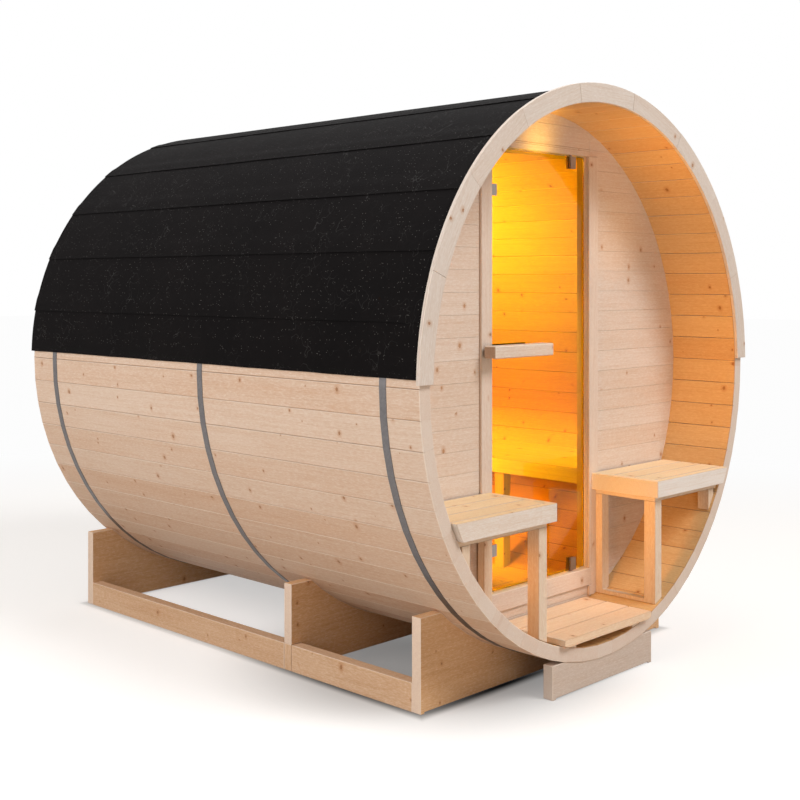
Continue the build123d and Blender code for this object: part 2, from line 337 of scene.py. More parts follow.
# Spruce. Textures: cycles or cells in a metre, along, across and through the board. Knots: radii and how far
# they wobble and bend the rings in metres, then where their face, dark rim and halo begin and end, in radii.
spruce = dict(knotCells=(4.0, 11.5, 0.0), knotStretch=(0.8, 0.62), randomness=0.9, knotFrom=0.35,
              knotRadius=(0.0008, 0.0048), wobbleScale=160.0, wobble=0.0022, knotBend=0.004,
              face=(0.7, 1.15), rim=(0.55, 0.9), halo=(1.0, 3.4), slow=(1.1, 5.0, 5.0), bend=0.06,
              fineRings=330.0, broadRings=47.0, fibre=(14.0, 620.0, 620.0), streak=(1.8, 55.0, 55.0),
              fleck=(60.0, 230.0, 230.0), blotch=(2.2, 9.0, 9.0), lines=(4.0, 190.0, 190.0))
# How strongly each of them turns the pale tone into the warm one, then the tints, how much of each is mixed
# in, and what makes the relief and the roughness.
spruceTone = dict(board=0.48, streak=1.1, broadRings=0.42, fineRings=0.13, fleck=1.6, blotch=0.5)
spruceTint = dict(fibre=(0.55, 0.36, 0.22, 1), lines=(0.78, 0.62, 0.47, 1), light=(1.0, 0.96, 0.93, 1),
                  halo=(0.72, 0.42, 0.2, 1), rim=(0.10, 0.04, 0.015, 1))
spruceMix = dict(fibre=0.16, lines=0.3, light=0.22, halo=0.42, knot=0.8, rim=0.35)
spruceRelief = dict(rings=0.35, fibre=0.5, knot=0.25)
spruceRough = dict(smooth=0.5, fibrous=0.68, knot=0.16)


def buildTimberGroup():
    # Growth rings round a pith beside the board, broad streaks, fine fibre and small knots.
    number, shade = "NodeSocketFloat", "NodeSocketColor"
    group = newGroup("spruceTimber",
                     [("Grain", "NodeSocketVector", None), ("Tone", number, 0.5), ("Pale", shade, None),
                      ("Warm", shade, None), ("Knot", shade, None), ("Knots", number, 0.5),
                      ("Streaks", number, 0.5), ("Side", number, 0.0)],
                     [("Color", shade), ("Roughness", number), ("Height", number)])
    w = Wires(group)
    start = w.add("NodeGroupInput").outputs
    end = w.add("NodeGroupOutput").inputs
    grain = start["Grain"]
    # knots: one chance in each cell, and none on narrow sides
    cellSize = spruce["knotCells"]
    scaled = w.stretch(grain, cellSize)
    cell, chance = w.cells(scaled)
    w.plug(cell.inputs["Randomness"], spruce["randomness"])
    away = w.vector("SUBTRACT", scaled, cell.outputs["Position"])
    stretch = spruce["knotStretch"]
    away = w.stretch(away, (stretch[0] / cellSize[0], stretch[1] / cellSize[1], 0.0))
    wobble = w.minus(w.noise(grain, spruce["wobbleScale"], 2.0), 0.5)
    distance = w.plus(w.vector("LENGTH", away), w.times(wobble, spruce["wobble"]))
    radius = w.span(chance, spruce["knotFrom"], 1.0, *spruce["knotRadius"])
    radius = w.times(radius, w.maths("GREATER_THAN", chance, w.minus(1.0, start["Knots"])))
    radius = w.times(radius, w.minus(1.0, start["Side"]))
    ratio = w.maths("DIVIDE", distance, w.plus(radius, 0.00001))
    knotMask = w.span(ratio, *spruce["face"], 1.0, 0.0, smooth=True)
    knotRim = w.times(w.span(ratio, *spruce["rim"], 0.0, 1.0, smooth=True), knotMask)
    halo = w.span(ratio, *spruce["halo"], 1.0, 0.0, smooth=True)
    halo = w.times(halo, w.maths("GREATER_THAN", radius, 0.0005))
    # growth rings, bent by the knots
    parts = w.add("ShaderNodeSeparateXYZ")
    w.plug(parts.inputs[0], grain)
    slow = w.stretch(grain, spruce["slow"])
    across = w.add("ShaderNodeCombineXYZ")
    w.plug(across.inputs[1], parts.outputs[1])
    w.plug(across.inputs[2], parts.outputs[2])
    ring = w.vector("LENGTH", across.outputs[0])
    ring = w.plus(ring, w.times(w.minus(w.noise(slow, 1.0, 3.0), 0.5), spruce["bend"]))
    ring = w.plus(ring, w.times(halo, spruce["knotBend"]))
    fine = w.maths("FRACT", w.times(ring, spruce["fineRings"]))
    fineRings = w.times(w.span(fine, 0.35, 0.92, 0.0, 1.0, smooth=True), w.span(fine, 0.92, 1.0, 1.0, 0.0))
    broad = w.maths("FRACT", w.times(ring, spruce["broadRings"]))
    broadRings = w.times(w.span(broad, 0.1, 0.8, 0.0, 1.0, smooth=True),
                         w.span(broad, 0.8, 1.0, 1.0, 0.0, smooth=True))
    broadRings = w.times(broadRings, w.span(w.noise(slow, 2.3, 2.0), 0.35, 0.65, 0.15, 1.0))
    # fibre, streaks, flecks and blotches
    fibre = w.noise(w.stretch(grain, spruce["fibre"]), 1.0, 2.0, 0.6)
    streak = w.noise(w.stretch(grain, spruce["streak"]), 1.0, 4.0, 0.62)
    fleck = w.noise(w.stretch(grain, spruce["fleck"]), 1.0, 4.0, 0.75)
    blotch = w.noise(w.stretch(grain, spruce["blotch"]), 1.0, 2.0)
    lines = w.noise(w.stretch(grain, spruce["lines"]), 1.0, 3.0, 0.6)
    # colour
    amount = w.times(start["Tone"], spruceTone["board"])
    amount = w.plus(amount, w.times(w.minus(streak, 0.5), w.times(start["Streaks"], spruceTone["streak"])))
    amount = w.plus(amount, w.times(broadRings, w.times(start["Streaks"], spruceTone["broadRings"])))
    amount = w.plus(amount, w.times(fineRings, spruceTone["fineRings"]))
    amount = w.plus(amount, w.times(w.minus(fleck, 0.5), spruceTone["fleck"]))
    amount = w.plus(amount, w.times(w.minus(blotch, 0.5), spruceTone["blotch"]), True)
    colour = w.mix(amount, start["Pale"], start["Warm"])
    fibreTone = w.maths("MULTIPLY", w.minus(fibre, 0.35), spruceMix["fibre"], None, True)
    colour = w.mix(fibreTone, colour, spruceTint["fibre"], "MULTIPLY")
    lineTone = w.span(lines, 0.45, 0.72, 0.0, spruceMix["lines"])
    colour = w.mix(lineTone, colour, spruceTint["lines"], "MULTIPLY")
    colour = w.mix(w.span(fleck, 0.5, 0.25, 0.0, spruceMix["light"]), colour, spruceTint["light"])
    colour = w.mix(w.times(halo, spruceMix["halo"]), colour, spruceTint["halo"], "MULTIPLY")
    colour = w.mix(w.times(knotMask, spruceMix["knot"]), colour, start["Knot"])
    colour = w.mix(w.times(knotRim, spruceMix["rim"]), colour, spruceTint["rim"])
    rough = w.span(fibre, 0.2, 0.8, spruceRough["smooth"], spruceRough["fibrous"])
    rough = w.minus(rough, w.times(knotMask, spruceRough["knot"]))
    height = w.plus(w.times(fineRings, spruceRelief["rings"]), w.times(fibre, spruceRelief["fibre"]))
    height = w.plus(height, w.times(knotMask, spruceRelief["knot"]))
    w.plug(end["Color"], colour)
    w.plug(end["Roughness"], rough)
    w.plug(end["Height"], height)
    return group


timberGroup = buildTimberGroup()


def newMaterial(name):
    material = bpy.data.materials.new(name)
    material.use_nodes = True
    return material, Wires(material.node_tree), material.node_tree.nodes["Principled BSDF"]


# Colours and strengths that all timber shares. A painted highlight goes on the arris on one side of a joint
# and painted shade on the arris on the other.
timberLook = dict(knot=(0.36, 0.16, 0.06), endMix=0.5, arrisShadeTone=(0.42, 0.22, 0.10), bright=(0.95, 0.87, 0.79),
                  arrisHighlightMix=0.5, arrisShadeMix=0.25, relief=0.25, reliefDepth=0.0006, specular=0.25)


# line: how strongly the painted shade is laid on the arris beside a joint.
def timberMaterial(name, pale, warm, knots, streaks, knot=timberLook["knot"], endTone=None, tan=None,
                   line=timberLook["arrisShadeMix"]):
    material, w, shader = newMaterial(name)
    timber = w.add("ShaderNodeGroup")
    timber.node_tree = timberGroup
    w.plug(timber.inputs["Grain"], w.attribute("grain").outputs["Vector"])
    w.plug(timber.inputs["Tone"], w.attribute("tone").outputs["Fac"])
    w.plug(timber.inputs["Side"], w.attribute("narrowSide").outputs["Fac"])
    for label, value in (("Pale", (*pale, 1)), ("Warm", (*warm, 1)), ("Knot", (*knot, 1)), ("Knots", knots),
                         ("Streaks", streaks)):
        timber.inputs[label].default_value = value
    ends = endTone or [c * 0.5 + 0.34 for c in pale]
    endFace = w.times(w.attribute("endGrain").outputs["Fac"], timberLook["endMix"])
    colour = w.mix(endFace, timber.outputs["Color"], (*ends, 1))
    # Painted highlight on the arris on one side of each joint, painted shade on the arris on the other.
    arris = w.attribute("arris").outputs["Fac"]
    colour = w.mix(w.span(arris, 0.0, 1.0, 0.0, timberLook["arrisHighlightMix"]), colour, (*timberLook["bright"], 1))
    colour = w.mix(w.span(arris, 0.0, -1.0, 0.0, line), colour, (*timberLook["arrisShadeTone"], 1))
    # tan: painted warm light, multiplied into the faces that are marked for it.
    if tan:
        colour = w.mix(w.attribute("paintedWarmLight").outputs["Fac"], colour, (*tan, 1), "MULTIPLY")
    w.plug(shader.inputs["Base Color"], colour)
    w.plug(shader.inputs["Roughness"], timber.outputs["Roughness"])
    relief = w.relief(timber.outputs["Height"], timberLook["relief"], timberLook["reliefDepth"])
    w.plug(shader.inputs["Normal"], relief)
    shader.inputs["Specular IOR Level"].default_value = timberLook["specular"]
    return material


# name, pale tone, warm tone, knots, streaks; tan: painted warm light, line: painted shade at joints
woods = dict(
    staves=timberMaterial("staveSpruce", (0.755, 0.625, 0.53), (0.66, 0.445, 0.31), 0.72, 0.4,
                          tan=(0.98, 0.80, 0.46), line=0.55),
    fascia=timberMaterial("archSpruce", (0.71, 0.655, 0.615), (0.66, 0.56, 0.49), 0.3, 0.25),
    walls=timberMaterial("wallSpruce", (0.76, 0.66, 0.59), (0.68, 0.51, 0.39), 0.38, 0.4,
                         knot=(0.45, 0.22, 0.09), line=0.55),
    doorFrame=timberMaterial("doorFrameSpruce", (0.75, 0.64, 0.56), (0.68, 0.52, 0.43), 0.3, 0.3),
    # The handle's dark brown end faces are painted shade.
    handle=timberMaterial("handleSpruce", (0.75, 0.65, 0.57), (0.66, 0.48, 0.36), 0.5, 0.35,
                          endTone=(0.3, 0.13, 0.04)),
    floors=timberMaterial("floorSpruce", (0.93, 0.75, 0.57), (0.82, 0.58, 0.38), 0.55, 0.45),
    benches=timberMaterial("benchSpruce", (0.84, 0.80, 0.77), (0.74, 0.62, 0.52), 0.5, 0.45,
                           tan=(1.12, 0.975, 0.69)),
    # The cradle's deep orange is partly its timber and partly painted shade from under the barrel; its pale
    # end faces are painted light.
    cradle=timberMaterial("cradleSpruce", (0.80, 0.55, 0.33), (0.64, 0.36, 0.17), 0.55, 0.65,
                          endTone=(0.90, 0.86, 0.84)),
    # The rails' own darker timber tone is painted shade on their faces.
    rails=timberMaterial("railSpruceShaded", (0.76, 0.55, 0.38), (0.60, 0.36, 0.20), 0.6, 0.65),
    frames=timberMaterial("frameSpruce", (0.81, 0.68, 0.55), (0.70, 0.50, 0.34), 0.3, 0.4),
    support=timberMaterial("supportSpruce", (0.62, 0.53, 0.47), (0.55, 0.44, 0.36), 0.5, 0.45),
)


# Cycles or cells in a metre, then colours and how much of each is mixed in. scratches: turn in radians and
# strength.
feltLook = dict(grit=700.0, specks=230.0, speckFrom=0.955, cloud=3.2, scuff=26.0,
                deep=(0.0012, 0.0008, 0.0009, 1), worn=(0.0032, 0.0024, 0.0025, 1),
                scuffed=(0.006, 0.0048, 0.005, 1), scuffMix=0.5, gritty=(0.009, 0.0074, 0.0076, 1),
                grittyMix=0.6, speck=(0.16, 0.155, 0.15, 1), speckMix=0.7, scratch=(0.075, 0.074, 0.075, 1),
                scratches=((0.62, 0.5), (-0.5, 0.35)), scratchTilt=0.35, scratchScale=(0.9, 26.0, 26.0),
                scratchSharp=90.0, rough=(0.72, 0.95), relief=0.5, reliefDepth=0.0012, specular=0.08)


def feltMaterial():
    material, w, shader = newMaterial("mineralFelt")
    place = w.add("ShaderNodeTexCoord").outputs["Object"]
    grit = w.noise(place, feltLook["grit"], 2.0, 0.7)
    speck, chance = w.cells(place, feltLook["specks"])
    bright = w.maths("GREATER_THAN", chance, feltLook["speckFrom"])
    bright = w.times(bright, w.span(speck.outputs["Distance"], 0.15, 0.4, 1.0, 0.0))
    cloud = w.noise(place, feltLook["cloud"], 4.0, 0.6)
    scuff = w.noise(place, feltLook["scuff"], 3.0, 0.7)
    colour = w.mix(w.span(cloud, 0.3, 0.7), feltLook["deep"], feltLook["worn"])
    colour = w.mix(w.span(scuff, 0.52, 0.75, 0.0, feltLook["scuffMix"]), colour, feltLook["scuffed"])
    colour = w.mix(w.span(grit, 0.45, 0.8, 0.0, feltLook["grittyMix"]), colour, feltLook["gritty"])
    colour = w.mix(w.times(bright, feltLook["speckMix"]), colour, feltLook["speck"])
    # faint straight scratches in two directions
    for turn, amount in feltLook["scratches"]:
        mapping = w.add("ShaderNodeMapping")
        mapping.inputs["Rotation"].default_value = (0.0, feltLook["scratchTilt"], turn)
        mapping.inputs["Scale"].default_value = feltLook["scratchScale"]
        w.plug(mapping.inputs["Vector"], place)
        line = w.noise(mapping.outputs["Vector"], 1.0, 1.0, 0.4)
        offLine = w.times(w.maths("ABSOLUTE", w.minus(line, 0.5)), feltLook["scratchSharp"])
        thin = w.maths("SUBTRACT", 1.0, offLine, None, True)
        gate = w.span(w.noise(mapping.outputs["Vector"], 0.35, 1.0), 0.56, 0.7, 0.0, 1.0)
        colour = w.mix(w.times(w.times(thin, gate), amount), colour, feltLook["scratch"])
    w.plug(shader.inputs["Base Color"], colour)
    w.plug(shader.inputs["Roughness"], w.span(grit, 0.3, 0.7, *feltLook["rough"]))
    relief = w.relief(w.plus(grit, w.times(cloud, 0.6)), feltLook["relief"], feltLook["reliefDepth"])
    w.plug(shader.inputs["Normal"], relief)
    shader.inputs["Specular IOR Level"].default_value = feltLook["specular"]
    return material


# Cells or cycles in a metre, then how far the tone and the roughness vary.
metalLook = dict(spangles=140.0, cloud=18.0, grain=420.0, darkest=0.72, lightest=1.25, smoother=0.07,
                 rougher=0.09, relief=0.12, reliefDepth=0.0003)


def metalMaterial(name, base, rough, spangle=0.0):
    material, w, shader = newMaterial(name)
    place = w.add("ShaderNodeTexCoord").outputs["Object"]
    chance = w.cells(place, metalLook["spangles"])[1]
    cloud = w.noise(place, metalLook["cloud"], 4.0, 0.6)
    dark = [c * metalLook["darkest"] for c in base]
    light = [c * metalLook["lightest"] for c in base]
    amount = w.plus(w.times(cloud, 0.7), w.times(chance, spangle), True)
    w.plug(shader.inputs["Base Color"], w.mix(amount, (*dark, 1), (*light, 1)))
    roughness = w.span(cloud, 0.25, 0.75, rough - metalLook["smoother"], rough + metalLook["rougher"])
    w.plug(shader.inputs["Roughness"], roughness)
    relief = w.relief(w.noise(place, metalLook["grain"], 2.0), metalLook["relief"], metalLook["reliefDepth"])
    w.plug(shader.inputs["Normal"], relief)
    shader.inputs["Metallic"].default_value = 1.0
    return material


# Amber glass with a faint cloud in its tint and faint smudges, both in cycles in a metre.
glassLook = dict(tint=(0.97, 0.70, 0.02, 1), deeper=(0.97, 0.67, 0.015, 1), cloud=2.0, smudges=9.0,
                 rough=0.015, bending=1.3, shine=(1.0, 0.75, 0.12, 1))


def glassMaterial():
    material, w, shader = newMaterial("amberGlass")
    place = w.add("ShaderNodeTexCoord").outputs["Object"]
    tint = w.mix(w.noise(place, glassLook["cloud"]), glassLook["tint"], glassLook["deeper"])
    w.plug(shader.inputs["Base Color"], tint)
    smudges = w.noise(place, glassLook["smudges"], 3.0)
    w.plug(shader.inputs["Roughness"], w.span(smudges, 0.3, 0.7, 0.0, glassLook["rough"]))
    shader.inputs["Transmission Weight"].default_value = 1.0
    shader.inputs["IOR"].default_value = glassLook["bending"]
    shader.inputs["Specular Tint"].default_value = glassLook["shine"]
    return material


felt = feltMaterial()
strapSteel = metalMaterial("galvanisedStrap", (0.17, 0.158, 0.158), 0.46, spangle=0.35)
fittingSteel = metalMaterial("satinFitting", (0.36, 0.31, 0.28), 0.36)
amberGlass = glassMaterial()
print("materials ready")


# Metres: the open slot between staves, how deep it is, the step to the tongue, the eased arris beside it, how
# deep a stave may sink below its neighbours, and how near to a height a corner lies on it. twist: degrees.
stave = dict(gap=0.0007, slotDepth=0.010, step=0.0004, chamfer=0.0024, sink=0.0004, twist=0.012, near=0.0001)


def buildStave():
    # One stave at the crown: a plank tapered to the joint angle, with a slot above and below its tongue.
    outer = barrel["outer"]
    inner = barrel["inner"]
    halfOuter = outer * math.tan(pitch / 2)
    halfInner = inner * math.tan(pitch / 2)
    length = barrel["back"] - barrel["front"]
    middle = (barrel["front"] + barrel["back"]) / 2
    bpy.ops.mesh.primitive_cube_add(size=1.0, location=(0, middle, (outer + inner) / 2))
    plank = bpy.context.active_object
    plank.name = "stavePattern"
    plank.scale = (2 * halfOuter, length, outer - inner)
    bpy.ops.object.transform_apply(location=True, rotation=True, scale=True)
    editMesh(plank, "DESELECT")
    mesh = bmesh.from_edit_mesh(plank.data)
    for vert in mesh.verts:
        vert.select_set(vert.co.z < (outer + inner) / 2)
    mesh.select_flush_mode()
    bmesh.update_edit_mesh(plank.data)
    bpy.ops.transform.resize(value=(halfInner / halfOuter, 1, 1), center_override=(0, 0, inner))
    upper = outer - stave["slotDepth"]
    lower = inner + stave["slotDepth"]
    for height in (upper, upper - stave["step"], lower, lower + stave["step"]):
        bpy.ops.mesh.select_all(action="SELECT")
        bpy.ops.mesh.bisect(plane_co=(0, 0, height), plane_no=(0, 0, 1))
    shrink = (halfOuter - stave["gap"] / 2) / halfOuter
    mesh = bmesh.from_edit_mesh(plank.data)
    for vert in mesh.verts:
        vert.select_set(vert.co.z > upper - stave["near"] or vert.co.z < lower + stave["near"])
    mesh.select_flush_mode()
    bmesh.update_edit_mesh(plank.data)
    bpy.ops.transform.resize(value=(shrink, 1, 1), center_override=(0, 0, inner))
    mesh = bmesh.from_edit_mesh(plank.data)
    for edge in mesh.edges:
        heights = [vert.co.z for vert in edge.verts]
        edge.select_set(all(min(abs(z - outer), abs(z - inner)) < stave["near"] for z in heights))
    bmesh.update_edit_mesh(plank.data)
    bpy.ops.mesh.bevel(offset=stave["chamfer"], segments=2, affect="EDGES", clamp_overlap=True)
    bpy.ops.object.mode_set(mode="OBJECT")
    flatFaces(plank, 25)
    return plank


def placeStave(pattern, number, rng):
    board = copyMesh(pattern, "staveBoard")
    markGrain(board, lengthwise, rng.randrange(10 ** 6))
    # The side turned to the room gets painted warm light, and the painted highlight goes on the upper
    # arris, left and right alike.
    marks = board.data.attributes
    for face in board.data.polygons:
        marks["paintedWarmLight"].data[face.index].value = float(face.normal.z < -0.5)
        marks["arris"].data[face.index].value *= 1 if number <= 0 else -1
    lift = Matrix.Translation((0, 0, -rng.uniform(0.0, stave["sink"])))
    twist = math.radians(rng.uniform(-stave["twist"], stave["twist"]))
    turn = Matrix.Rotation(number * pitch + twist, 4, "Y")
    board.matrix_world = Matrix.Translation((0, 0, barrel["centreZ"])) @ turn @ lift
    makeActive(board)
    bpy.ops.object.transform_apply(location=True, rotation=True, scale=True)
    return board


stavePattern = buildStave()
staveRng = random.Random(41)
# node, first stave counted from the crown, number of staves
staveGroups = [("staves_crown", -2, 5), ("staves_bottom", 31, 5)]
for row in range(4):
    staveGroups.append(("staves_right_" + str(row + 1), 3 + row * 7, 7))
    staveGroups.append(("staves_left_" + str(row + 1), -9 - row * 7, 7))
for node, first, count in staveGroups:
    laid = [placeStave(stavePattern, first + i, staveRng) for i in range(count)]
    piece = joinPieces(laid, node.replace("_", "") + "Boards")
    dress(piece, [node], "sauna", woods["staves"])
bpy.data.objects.remove(stavePattern)
print("staves placed")


# Metres: from joint to joint, the height of one joint, the slot, the arris, the hidden middle of a board and
# the lowest board worth cutting.
wall = dict(pitch=0.0779, joint=1.5265, gap=0.0006, ease=0.0013, core=0.009, least=0.004)


def boardedWall(node, name, seed):
    whole = copyNode(node, "wholeWall")
    low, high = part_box(node)
    pieces = []
    joint = wall["joint"] + math.floor((low.z - wall["joint"]) / wall["pitch"]) * wall["pitch"]
    while joint < high.z:
        bottom = max(joint + wall["gap"] / 2, low.z)
        top = min(joint + wall["pitch"] - wall["gap"] / 2, high.z)
        if top - bottom > wall["least"]:
            cuts = (bottom if bottom > low.z else None, top if top < high.z else None)
            pieces.append(sliceOf(whole, "wallBoard", 2, *cuts))
        joint += wall["pitch"]
    faced = joinPieces(pieces, name)
    easeEdges(faced, wall["ease"], 2, 40)
    markGrain(faced, crosswiseUpright, seed)
    core = sliceOf(whole, "wallCore", 1, low.y + wall["core"], high.y - wall["core"])
    markGrain(core, crosswiseUpright, seed + 1)
    dress(joinPieces([faced, core], name), [node], "sauna", woods["walls"])
    bpy.data.objects.remove(whole)


for node, name, seed in (("front_wall_left", "frontWallLeftBoards", 101),
                         ("front_wall_right", "frontWallRightBoards", 112),
                         ("front_wall_over_door", "frontWallTopBoards", 123),
                         ("front_wall_under_door", "frontWallLowBoards", 134),
                         ("rear_wall", "rearWallBoards", 145)):
    boardedWall(node, name, seed)
print("walls boarded")


# node, piece, grain, slot, timber, seed, width of the eased edges in metres
easedBoards = (
    ("door_jambs", "doorJambs", upright, "door_frame_wood", "doorFrame", 201, 0.0015),
    ("door_head", "doorHead", crosswiseUpright, "door_frame_wood", "doorFrame", 202, 0.0015),
    ("door_sill", "doorSill", crosswiseUpright, "door_frame_wood", "doorFrame", 203, 0.002),
    ("door_posts", "doorPosts", upright, "door_frame_wood", "doorFrame", 204, 0.003),
    ("porch_floor", "porchFloorPlanks", crosswise, "floor_wood", "floors", 211, 0.0025),
    ("room_floor", "roomFloorPlanks", crosswise, "floor_wood", "floors", 212, 0.0025),
    ("floor_bearers", "floorBearers", lengthwise, "floor_wood", "floors", 213, 0.002),
    ("porch_bench_left_seat", "leftSeatPlanks", crosswise, "bench_wood", "benches", 221, 0.0025),
    ("porch_bench_right_seat", "rightSeatPlanks", crosswise, "bench_wood", "benches", 222, 0.0025),
    ("room_bench_seat", "roomSeatPlanks", lengthwise, "bench_wood", "benches", 223, 0.003),
    ("room_bench_frame", "roomBenchFrame", upright, "bench_wood", "benches", 224, 0.002),
    ("cradle_front", "cradleFrontBoard", crosswiseUpright, "cradle_wood", "cradle", 231, 0.002),
    ("cradle_middle", "cradleMiddleBoard", crosswiseUpright, "cradle_wood", "cradle", 232, 0.002),
    ("cradle_rear", "cradleRearBoard", crosswiseUpright, "cradle_wood", "cradle", 233, 0.002),
    ("porch_support", "porchSupportBoard", crosswiseUpright, "cradle_wood", "support", 235, 0.002),
)
for node, name, axes, slotName, timber, seed, ease in easedBoards:
    piece = copyNode(node, name)
    easeEdges(piece, ease)
    markGrain(piece, axes, seed)
    dress(piece, [node], "sauna", woods[timber])


# Metres: where the middle board stands, the joint beside it and the eased edges.
rails = dict(low=-0.243, high=-0.205, gap=0.001, ease=0.002, seed=251)


def railPieces():
    # Where the middle board stands, a short upright block of the rails carries its end down to the ground.
    whole = copyNode("cradle_rails", "wholeRails")
    spans = ((None, rails["low"] - rails["gap"], lengthwiseUpright),
             (rails["low"], rails["high"], uprightDeep),
             (rails["high"] + rails["gap"], None, lengthwiseUpright))
    parts = []
    for number, (start, stop, axes) in enumerate(spans):
        part = sliceOf(whole, "railPart", 1, start, stop)
        easeEdges(part, rails["ease"])
        markGrain(part, axes, rails["seed"] + number)
        parts.append(part)
    bpy.data.objects.remove(whole)
    dress(joinPieces(parts, "cradleRails"), ["cradle_rails"], "sauna", woods["rails"])


railPieces()

# Metres: the underside of the porch benches' rails, the joint below it and the eased edges.
benchRail = dict(bottom=0.587, gap=0.0003, ease=0.002)


def benchFrame(node, name, seed):
    # Legs and rails are cut apart so that each has its own grain.
    whole = copyNode(node, "wholeFrame")
    topRails = sliceOf(whole, "frameRails", 2, benchRail["bottom"], None)
    legs = sliceOf(whole, "frameLegs", 2, None, benchRail["bottom"] - benchRail["gap"])
    bpy.data.objects.remove(whole)
    for part in (topRails, legs):
        easeEdges(part, benchRail["ease"])
    markGrain(topRails, crosswiseUpright, seed)
    markGrain(legs, upright, seed + 1)
    dress(joinPieces([topRails, legs], name), [node], "sauna", woods["frames"])


benchFrame("porch_bench_left_frame", "leftBenchFrame", 241)
benchFrame("porch_bench_right_frame", "rightBenchFrame", 243)
print("boards eased")


# The arch is sawn from short boards. Degrees from the crown to its ends, metres for the rest.
arch = dict(segments=9, ends=89.3, gap=0.0006, ease=0.0015, seed=301)


def buildArch():
    whole = copyNode("fascia_arch", "wholeArch")
    centre = Vector((0, 0, barrel["centreZ"]))
    ends = math.radians(arch["ends"])
    pieces = []
    for i in range(arch["segments"]):
        start = -ends + 2 * ends * i / arch["segments"]
        stop = -ends + 2 * ends * (i + 1) / arch["segments"]
        part = copyMesh(whole, "archPart")
        for angle, side in ((start, -1), (stop, 1)):
            if abs(abs(angle) - ends) > 1e-6:
                across = Vector((math.cos(angle), 0, -math.sin(angle))) * side
                cutAway(part, centre - across * arch["gap"] / 2, across)
        easeEdges(part, arch["ease"], 2, 40)
        turned = Matrix.Rotation(-(start + stop) / 2, 4, "Y") @ Matrix.Translation(-centre)
        part.data.transform(turned)
        markGrain(part, crosswiseUpright, arch["seed"] + i)
        part.data.transform(turned.inverted())
        pieces.append(part)
    bpy.data.objects.remove(whole)
    dress(joinPieces(pieces, "archBoards"), ["fascia_arch"], "sauna", woods["fascia"])


buildArch()
print("arch built")


def paintNode(node, material):
    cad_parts[node].data.materials.clear()
    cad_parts[node].data.materials.append(material)


paintNode("steel_bands", strapSteel)
paintNode("pivot_pins", fittingSteel)

# Degrees round the barrel: the strips' lower edges counted from the crown, how far each strip runs on under
# the next (under), lies on the one below (over), comes down behind that (ramp) and how broad its edge is.
# Metres: the rest, with rearLoss and frontLoss as the most that a strip may be too short.
roof = dict(edges=(88.5, 78.75, 65.6, 52.7, 38.5, 22.0), under=2.8, over=3.3, ramp=1.0, edge=1.6,
            radius=1.0030, thick=0.0026, front=-1.0705, rear=1.0905, rearLoss=0.007, frontLoss=0.0012,
            wave=0.0022, tuck=0.0016, gap=0.0004, curl=0.0009, ripple=0.0006, rows=6, columns=80, seed=500)


def feltSheet(name, low, top, raised, seed):
    # A flat sheet of felt, laid round the barrel. Its lower margin lies on the strip below, its edge wavers.
    rows = max(roof["rows"], round(abs(low - top)))
    bpy.ops.mesh.primitive_grid_add(x_subdivisions=rows, y_subdivisions=roof["columns"], size=1.0)
    sheet = bpy.context.active_object
    sheet.name = name
    rng = random.Random(seed)
    rear = roof["rear"] - rng.uniform(0.0, roof["rearLoss"])
    front = roof["front"] + rng.uniform(0.0, roof["frontLoss"])
    drift = Vector([rng.uniform(0, 50) for i in range(3)])
    bothEdges = low * top < 0
    for vert in sheet.data.vertices:
        y = front + (rear - front) * (vert.co.y + 0.5)
        degrees = low + (top - low) * (vert.co.x + 0.5)
        sign = 1 if low > 0 else -1
        fromEdge = abs(low - degrees)
        if bothEdges and degrees < 0:
            sign = -1
            fromEdge = abs(top - degrees)
        side = Vector((0, sign * 11, 0))
        waver = noise.noise(Vector((y * 2.3, 0, 0)) + drift + side)
        waver += 0.5 * noise.noise(Vector((y * 9.0, 3, 0)) + drift + side)
        edge = max(0.0, 1 - fromEdge / roof["edge"])
        degrees += sign * math.degrees(waver * roof["wave"] - roof["tuck"]) * edge
        rise = 0.0
        if raised:
            rise = roof["thick"] + roof["gap"]
            rise *= 1 - min(1, max(0, (fromEdge - roof["over"]) / roof["ramp"]))
            rise += edge * roof["curl"] * (0.5 + noise.noise(Vector((y * 4.1, 7, sign)) + drift))
        swell = noise.noise(Vector((y * 3.0, degrees * 0.06, 5)) + drift) * min(1, 0.3 + fromEdge / 12)
        radius = roof["radius"] + rise + roof["ripple"] * swell
        angle = math.radians(degrees)
        vert.co = (radius * math.sin(angle), y, barrel["centreZ"] + radius * math.cos(angle))
    solid = sheet.modifiers.new("feltThickness", "SOLIDIFY")
    solid.thickness = roof["thick"]
    solid.offset = 0.0
    applyModifiers(sheet)
    editMesh(sheet)
    bpy.ops.mesh.normals_make_consistent(inside=False)
    bpy.ops.object.mode_set(mode="OBJECT")
    smoothByAngle(sheet, 35)
    return sheet


def buildRoof():
    edges = roof["edges"]
    nodes = ("roof_felt_eaves", "roof_felt_2", "roof_felt_3", "roof_felt_4", "roof_felt_5")
    for number, node in enumerate(nodes):
        low = edges[number]
        top = edges[number + 1] - roof["under"]
        seed = roof["seed"] + number * 2
        sides = [feltSheet("feltSide", -low, -top, number > 0, seed),
                 feltSheet("feltSide", low, top, number > 0, seed + 1)]
        dress(joinPieces(sides, "feltStrip" + str(number + 1)), [node], "sauna", felt)
    crown = feltSheet("feltCrown", edges[5], -edges[5], True, roof["seed"] + 20)
    dress(crown, ["roof_felt_crown"], "sauna", felt)


buildRoof()
print("roof laid")


# Metres: the eased edges, and the depths at which each handle's wooden grip meets its metal spacers.
door = dict(paneEase=0.0008, fittingEase=0.0012, gripEase=0.004, spacerEase=0.0006, outerGrip=-0.821,
            innerGrip=-0.767)


